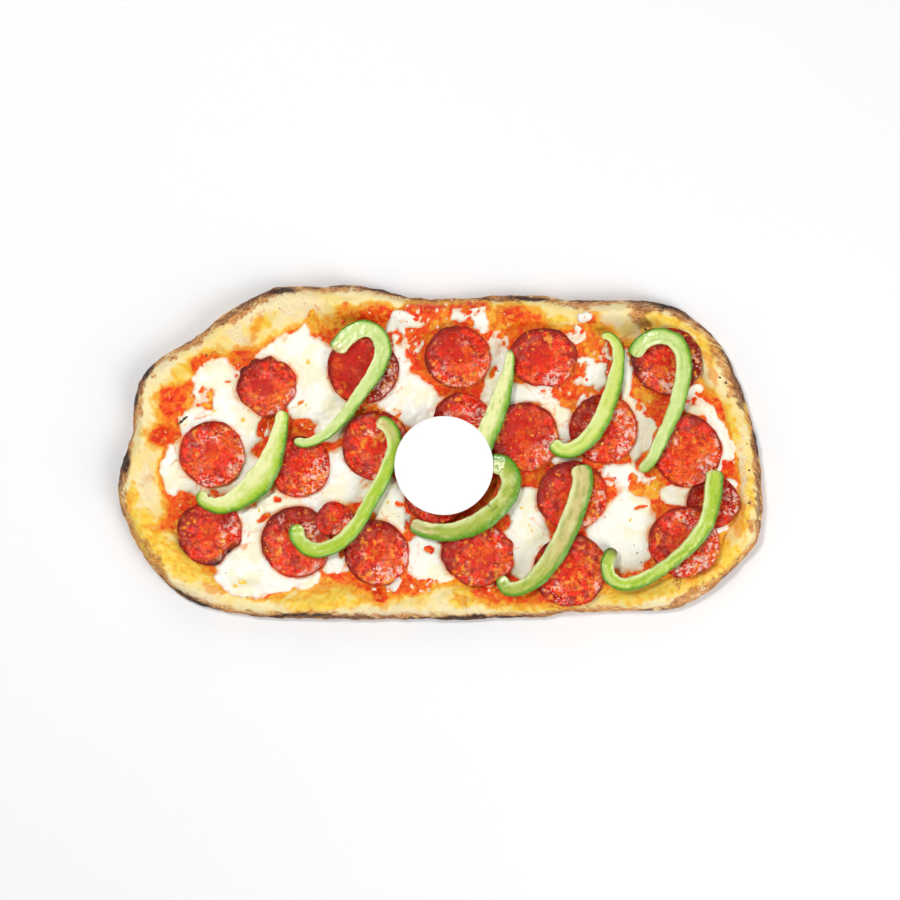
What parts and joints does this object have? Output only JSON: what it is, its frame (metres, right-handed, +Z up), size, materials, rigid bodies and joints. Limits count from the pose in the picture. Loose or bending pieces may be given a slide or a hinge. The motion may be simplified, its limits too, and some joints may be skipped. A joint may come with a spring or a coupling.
{
  "type": "pinsa",
  "caption": "Whole long oval pinsa with a puffed, toasted rim, tomato sauce, melted mozzarella, salami slices, green pepper strips and a blank round card on top.",
  "frame": {"origin": "on the surface it rests on, under the middle of the oval's bounding box", "axes": "+X along the oval's length, towards its squarer end, +Y across it, +Z up through the toppings"},
  "size_m": [0.363, 0.188, 0.0259],
  "materials": {
    "crust": "matte",
    "mozzarella": "satin",
    "salami": "gloss",
    "green_pepper": "gloss",
    "card": "matte",
    "sauce": "gloss"
  },
  "bodies": {
    "root": {"crust": "crust", "mozzarella_sheet": "mozzarella", "mozzarella_bit_01": "mozzarella", "mozzarella_bit_02": "mozzarella", "mozzarella_bit_03": "mozzarella", "mozzarella_bit_04": "mozzarella", "mozzarella_bit_05": "mozzarella", "mozzarella_bit_06": "mozzarella", "pepperoni_01": "salami", "pepperoni_02": "salami", "pepperoni_03": "salami", "pepperoni_04": "salami", "pepperoni_05": "salami", "pepperoni_06": "salami", "pepperoni_07": "salami", "pepperoni_08": "salami", "pepperoni_09": "salami", "pepperoni_10": "salami", "pepperoni_11": "salami", "pepperoni_12": "salami", "pepperoni_13": "salami", "pepperoni_14": "salami", "pepperoni_15": "salami", "pepperoni_16": "salami", "pepperoni_17": "salami", "pepperoni_18": "salami", "pepperoni_19": "salami", "pepperoni_20": "salami", "pepperoni_21": "salami", "pepperoni_22": "salami", "pepper_strip_01": "green_pepper", "pepper_strip_02": "green_pepper", "pepper_strip_03": "green_pepper", "pepper_strip_04": "green_pepper", "pepper_strip_05": "green_pepper", "pepper_strip_06": "green_pepper", "pepper_strip_07": "green_pepper", "pepper_strip_08": "green_pepper", "pepper_strip_09": "green_pepper", "round_card": "card"}
  },
  "joints": []
}
